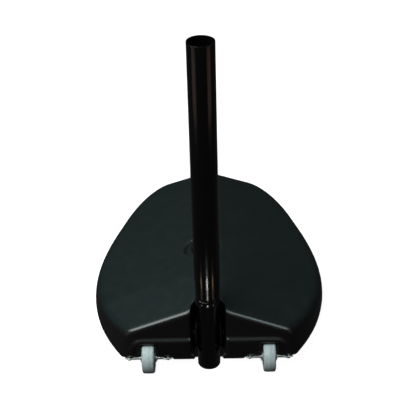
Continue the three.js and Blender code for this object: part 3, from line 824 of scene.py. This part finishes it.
nut_rings = [
    (nut_seat, shank_radius + 0.3, False),
    (nut_seat, flat_radius * 0.93, False),
    (nut_seat - 0.3, flat_radius * 1.05, True),
    (nut_seat - 0.7, corner_radius, True),
    (nut_face + 0.7, corner_radius, True),
    (nut_face + 0.3, flat_radius * 1.05, True),
    (nut_face, flat_radius * 0.93, False),
    (nut_face, shank_radius + 0.8, False),
    (nut_face + 0.5, shank_radius + 0.3, False),
]
nut = stacked(nut_rings, 72, hexagonal, tunnel=True)
seat(nut, "mast_cross_nut", "mast_bolt_nut", "base", "black_zinc", bolt_at, "X")


# %% [markdown]
# Washers are punched from sheet. The punch rolls one edge over and leaves the other a little
# sharp, which a small bevel on a turned ring stands for.


# %% Washers
def seat_washer(node, bore, finish_name):
    outer, thick = span(node).y / 2, span(node).x / 2
    outline = [(bore, -thick), (outer, -thick), (outer, thick), (bore, thick)]
    washer = turned(outline, 64, 0.22)
    seat(washer, node + "_punched", node, "base", finish_name, middle(node), "X")


for side in ("left", "right"):
    seat_washer("mast_bolt_washer_" + side, shank_radius + 0.3, "black_zinc")
    for place in ("inner", "outer"):
        seat_washer(f"{side}_axle_washer_{place}", 3.3, "zinc_plate")

# %% [markdown]
# ## The mast bracket
#
# The bracket is a strap bent round a former into a U. Its shape is already right in the CAD
# model, so the piece is a copy of that solid. The copy's loose triangles are merged and its flat
# areas dissolved into whole faces, and only then do its edges get the small bevel of sheared and
# tumbled steel.

# %% Bent strap
strap = bmesh.new()
strap.from_mesh(frame["nodes"]["mast_bracket"].data)
bmesh.ops.remove_doubles(strap, verts=strap.verts, dist=1e-6)
bmesh.ops.scale(strap, vec=(1000, 1000, 1000), verts=strap.verts)
bmesh.ops.dissolve_limit(strap, angle_limit=math.radians(1), verts=strap.verts, edges=strap.edges)
soften(strap, 0.35, limit=50)
seat(strap, "mast_strap", "mast_bracket", "base", "black_zinc")

# %% [markdown]
# ## The wheels
#
# Each wheel is moulded in two shots: a stiff hub, then a softer tread round it. The tread has
# rounded shoulders and a thin raised line round its middle, where the two halves of the mould
# met. The hub is a rim and a boss joined by a thin web, stiffened by spokes on both faces.

# %% Tread section
tread_bore = wheel_radius - 6.3
tread_section = [
    (tread_bore, -tread_half + 1),
    (tread_bore + 0.8, -tread_half + 0.55),
    (wheel_radius - 4.8, -tread_half + 0.05),
    (wheel_radius - 3.6, -tread_half + 0.15),
    (wheel_radius - 1.9, -tread_half + 0.9),
    (wheel_radius - 0.8, -tread_half + 2.2),
    (wheel_radius - 0.25, -tread_half + 4.2),
    (wheel_radius - 0.12, -0.55),
    (wheel_radius, -0.2),
    (wheel_radius, 0.2),
    (wheel_radius - 0.12, 0.55),
    (wheel_radius - 0.25, tread_half - 4.2),
    (wheel_radius - 0.8, tread_half - 2.2),
    (wheel_radius - 1.9, tread_half - 0.9),
    (wheel_radius - 3.6, tread_half - 0.15),
    (wheel_radius - 4.8, tread_half - 0.05),
    (tread_bore + 0.8, tread_half - 0.55),
    (tread_bore, tread_half - 1),
]

# %% Hub section and spokes
hub_radius = span("left_wheel_hub").z / 2
boss_half = span("left_wheel_hub").x / 2
bush_radius = span("left_wheel_bush").z / 2
rim_half = tread_half - 0.8
rim_bore = hub_radius - 4.2
boss_radius = 9.5
web_half = 2.0
half_section = [
    (bush_radius + 0.3, boss_half),
    (boss_radius - 0.3, boss_half),
    (boss_radius + 0.4, web_half),
    (rim_bore - 0.5, web_half),
    (rim_bore + 0.4, rim_half),
    (hub_radius, rim_half),
]
hub_section = half_section + [(radius, -height) for radius, height in reversed(half_section)]
spoke_count = 6
spoke_size = (rim_bore - boss_radius + 3, 2.4, 18)


def spokes():
    """Six bevelled bars round the boss, made from one by turning copies of it."""
    bm = bmesh.new()
    bmesh.ops.create_cube(bm, size=1)
    bmesh.ops.scale(bm, vec=spoke_size, verts=bm.verts)
    bmesh.ops.translate(bm, vec=((rim_bore + boss_radius) / 2, 0, 0), verts=bm.verts)
    soften(bm, 0.5)
    bmesh.ops.spin(
        bm,
        geom=bm.verts[:] + bm.edges[:] + bm.faces[:],
        cent=(0, 0, 0),
        axis=(0, 0, 1),
        angle=2 * math.pi * (spoke_count - 1) / spoke_count,
        steps=spoke_count - 1,
        use_duplicate=True,
    )
    return bm


def join(bm, other):
    """Adds another shape to this one."""
    carrier = bpy.data.meshes.new("carrier")
    other.to_mesh(carrier)
    other.free()
    bm.from_mesh(carrier)
    bpy.data.meshes.remove(carrier)
    return bm


# %% [markdown]
# An axle is a rod whose ends are beaten flat under a press, so they spread sideways, thin out and
# run to a blunt leaf-shaped point. The stack of rings does this well: each ring has a half width,
# a half thickness and a squareness, and the squareness turns the round rod into a flat bar.

# %% Axle rings
axle_half = span("left_wheel_axle").x / 2
flat_half = span("left_wheel_axle").y / 2
rod = 3.0
end_rings = [
    # from the tip inwards: place, half width, half thickness, squareness
    (axle_half, 1.1, 0.7, 0.3),
    (axle_half - 0.5, 1.7, 1.1, 0.4),
    (axle_half - 2.5, 2.7, 1.4, 0.5),
    (axle_half - 5, 3.7, 1.5, 0.55),
    (axle_half - 8, flat_half, 1.5, 0.55),
    (axle_half - 12, flat_half, 1.5, 0.55),
    (axle_half - 14, flat_half - 0.1, 1.6, 0.5),
    (axle_half - 16, 3.9, 1.95, 0.3),
    (axle_half - 18, 3.3, 2.6, 0.1),
    (axle_half - 20, rod, rod, 0),
]
axle_rings = [(-place, *rest) for place, *rest in end_rings] + end_rings[::-1]


def beaten(ring, angle):
    """A superellipse: the squareness pulls the ring's corners out."""
    place, wide, thick, square = ring
    power = 1 - square

    def pull(value):
        return math.copysign(abs(value) ** power, value)

    return Vector((thick * pull(math.cos(angle)), wide * pull(math.sin(angle)), place))


# %% Assemble both wheels
bush_section = [
    (rod + 0.1, -boss_half),
    (bush_radius, -boss_half),
    (bush_radius, boss_half),
    (rod + 0.1, boss_half),
]
for side in ("left", "right"):
    at = middle(side + "_wheel_tyre")
    body = side + "_wheel"
    seat(turned(tread_section, 144), body + "_tread", body + "_tyre", body, "wheel_tread", at, "X")
    hub = join(turned(hub_section, 96, 0.5), spokes())
    seat(hub, body + "_spoked_hub", body + "_hub", body, "wheel_hub", at, "X")
    seat(turned(bush_section, 64, 0.3), body + "_sleeve", body + "_bush", body, "nylon_bush", at, "X")
    axle = stacked(axle_rings, 40, beaten)
    seat(axle, body + "_beaten_axle", body + "_axle", "base", "zinc_plate", at, "X")

# %% [markdown]
# ## Floor, light and camera
#
# A black object shows its shape only by what it reflects. A large soft light overhead gives the
# broad tops their low, even tone, and a weaker one from the viewer's side keeps the upright faces
# from closing up. The rest is more than a real studio could do: some lights are linked to chosen
# pieces, or show only in their gloss, so that each highlight can be set without moving the others.
# The floor is plain and pale, and is kept out of the reflections.

# %% Floor
pale = bpy.data.materials.new("pale_floor")
pale.use_nodes = True
floor_shader = pale.node_tree.nodes["Principled BSDF"]
floor_shader.inputs["Base Color"].default_value = (0.85, 0.85, 0.85, 1)
floor_shader.inputs["Roughness"].default_value = 0.9
floor_shader.inputs["Specular IOR Level"].default_value = 0.1
sheet = bmesh.new()
bmesh.ops.create_grid(sheet, x_segments=1, y_segments=1, size=20)
floor_mesh = bpy.data.meshes.new("floor")
sheet.to_mesh(floor_mesh)
sheet.free()
floor = bpy.data.objects.new("floor", floor_mesh)
floor.data.materials.append(pale)
bpy.context.scene.collection.objects.link(floor)
floor.location.z = -0.0006
floor.visible_glossy = False
floor.visible_diffuse = False
floor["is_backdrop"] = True

# %% World: white behind everything, dim as a light
world = bpy.data.worlds.new("studio")
bpy.context.scene.world = world
world.use_nodes = True
studio = world.node_tree
backdrop = studio.nodes["Background"]
backdrop.inputs["Color"].default_value = (1, 1, 1, 1)
seen = studio.nodes.new("ShaderNodeLightPath")
level = studio.nodes.new("ShaderNodeMapRange")
level.inputs["To Min"].default_value = 0.03
level.inputs["To Max"].default_value = 1.0
studio.links.new(seen.outputs["Is Camera Ray"], level.inputs["Value"])
studio.links.new(level.outputs["Result"], backdrop.inputs["Strength"])


# %% Soft lights
def softbox(name, place, target, size, radiance, colour=(1, 1, 1)):
    """A rectangular light that faces its target and glows with a given radiance."""
    data = bpy.data.lights.new(name, "AREA")
    data.shape = "RECTANGLE"
    data.size, data.size_y = size
    data.energy = math.pi * radiance * size[0] * size[1]
    data.color = colour
    lamp = bpy.data.objects.new(name, data)
    bpy.context.scene.collection.objects.link(lamp)
    lamp.location = place
    lamp.rotation_mode = "QUATERNION"
    lamp.rotation_quaternion = (Vector(target) - Vector(place)).to_track_quat("-Z", "Y")
    lamp.visible_camera = False
    print(f"{name}: {data.energy:.2f} W")
    return lamp


mast_y = mast_axis.y / 1000
softbox("key", (-1.05, -0.72, 2.0), (0, -0.1, 0), (1.9, 1.5), 4.45)
softbox("viewer_side", (0.4, -2.4, 1.3), (0, -0.2, 0.1), (1.4, 0.8), 0.5)

# Each panel shows only in the gloss of the tank and the axle sets, and lights no face. It draws
# the bright line along the sloping rear edges. The low fills are faint and warm.
gloss_only = bpy.data.collections.new("gloss_only")
for piece in bpy.context.scene.objects:
    if piece.name == "tank_shell" or "axle" in piece.name:
        gloss_only.objects.link(piece)
for side, tint in ((-1, (1, 0.76, 0.66)), (1, (1, 0.66, 0.52))):
    place = (side * 1.3, -1.1, 2.1)
    panel = softbox("sheen_panel", place, (0, -0.1, 0.1), (1.1, 2.1), 5.4, (0.86, 0.98, 1))
    panel.visible_diffuse = False
    panel.light_linking.receiver_collection = gloss_only
    softbox("warm_fill", (side * 1.3, -1.0, 0.25), (0, 0, 0.1), (0.8, 0.4), 0.45, tint)

# An overhead light for the treads and hubs, which otherwise sit in the tank's shade. It lights
# nothing else.
gear_only = bpy.data.collections.new("gear_only")
for piece in bpy.context.scene.objects:
    if piece.name.endswith(("wheel_tread", "spoked_hub")):
        gear_only.objects.link(piece)
gear_light = softbox("gear_light", (0.1, -0.9, 1.9), (0, -0.3, 0.03), (1.2, 0.5), 4.2, (0.88, 1, 1))
gear_light.light_linking.receiver_collection = gear_only

# Three low strips show only as streaks in the mast's gloss.
mast_only = bpy.data.collections.new("mast_only")
for name in ("mast_swaged_tube", "lower_tube_lip"):
    mast_only.objects.link(bpy.data.objects[name])
for x, y, power, tint in (
    (0.002, 0.285, 16, (1, 1, 1)),
    (-0.225, 0.18, 2.6, (1, 0.66, 0.42)),
    (0.225, 0.18, 2.6, (1, 0.6, 0.36)),
):
    strip = softbox("swage_strip", (x, mast_y - y, 0.004), (0, mast_y, 0.21), (0.05, 0.045), power, tint)
    strip.visible_diffuse = False
    strip.light_linking.receiver_collection = mast_only

# A light from the viewer's side whitens the floor and nothing else, so that the shadow falls
# away behind the object.
yaw = 0.0153  # the camera's turn about the mast, which this light shares
floor_only = bpy.data.collections.new("floor_only")
floor_only.objects.link(floor)
floor_light = bpy.data.lights.new("floor_light", "SUN")
floor_light.energy = 5.5
floor_light.angle = math.radians(6)
floor_lamp = bpy.data.objects.new("floor_light", floor_light)
bpy.context.scene.collection.objects.link(floor_lamp)
floor_lamp.rotation_euler = (math.radians(50), 0, yaw)
floor_lamp.light_linking.receiver_collection = floor_only

# A flag is a plain card that keeps light off. This one lies under the tank, out of sight, and
# keeps the floor dark there.
tank_low, tank_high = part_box("base_tank")
flag_low = Vector((-0.15, tank_low.y + 0.04, 0.0015))
flag_high = Vector((0.15, tank_high.y - 0.12, 0.0015))
card = bmesh.new()
bmesh.ops.create_grid(card, x_segments=1, y_segments=1, size=0.5)
card_size = flag_high - flag_low
bmesh.ops.scale(card, vec=(card_size.x, card_size.y, 1), verts=card.verts)
bmesh.ops.translate(card, vec=(flag_high + flag_low) / 2, verts=card.verts)
flag_mesh = bpy.data.meshes.new("flag")
card.to_mesh(flag_mesh)
card.free()
flag = bpy.data.objects.new("flag", flag_mesh)
bpy.context.scene.collection.objects.link(flag)
flag.visible_camera = flag.visible_glossy = flag.visible_diffuse = False
flag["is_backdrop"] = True

# %% [markdown]
# The camera looks down at 33 degrees from behind the base, through a longish lens, so that the
# sides of the mast stay nearly parallel. It is turned a little about the mast and rolled a
# little, as a hand-held camera is.

# %% Camera
pitch_down, roll = math.radians(33), 0.0256
camera_place = Vector((0.0305, mast_y - 1.6317, 1.441))
flat_ahead = math.cos(pitch_down)
forward = Vector((-math.sin(yaw) * flat_ahead, math.cos(yaw) * flat_ahead, -math.sin(pitch_down)))
level_right = Vector((math.cos(yaw), math.sin(yaw), 0))
level_up = level_right.cross(forward)
right = level_right * math.cos(roll) - level_up * math.sin(roll)
up = level_right * math.sin(roll) + level_up * math.cos(roll)
camera_data = bpy.data.cameras.new("camera")
camera_data.sensor_width = 36
camera_data.lens = 90
camera = bpy.data.objects.new("camera", camera_data)
bpy.context.scene.collection.objects.link(camera)
camera.matrix_world = Matrix(
    (
        (right.x, up.x, -forward.x, camera_place.x),
        (right.y, up.y, -forward.y, camera_place.y),
        (right.z, up.z, -forward.z, camera_place.z),
        (0, 0, 0, 1),
    )
)
bpy.context.scene.camera = camera
bpy.context.scene.view_settings.view_transform = "Standard"
print("camera", [round(v, 3) for v in camera.location])

# %% [markdown]
# ## Close the frame
#
# How far the visual model reaches past the CAD model's box on each side is printed. The
# visual model has to keep to the size of the CAD model.

# %% Sizes and finish
seen_low, seen_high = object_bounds()
grown = [[round(1000 * v, 2) for v in side] for side in (cad_low - seen_low, seen_high - cad_high)]
print("grown by", *grown, "mm")
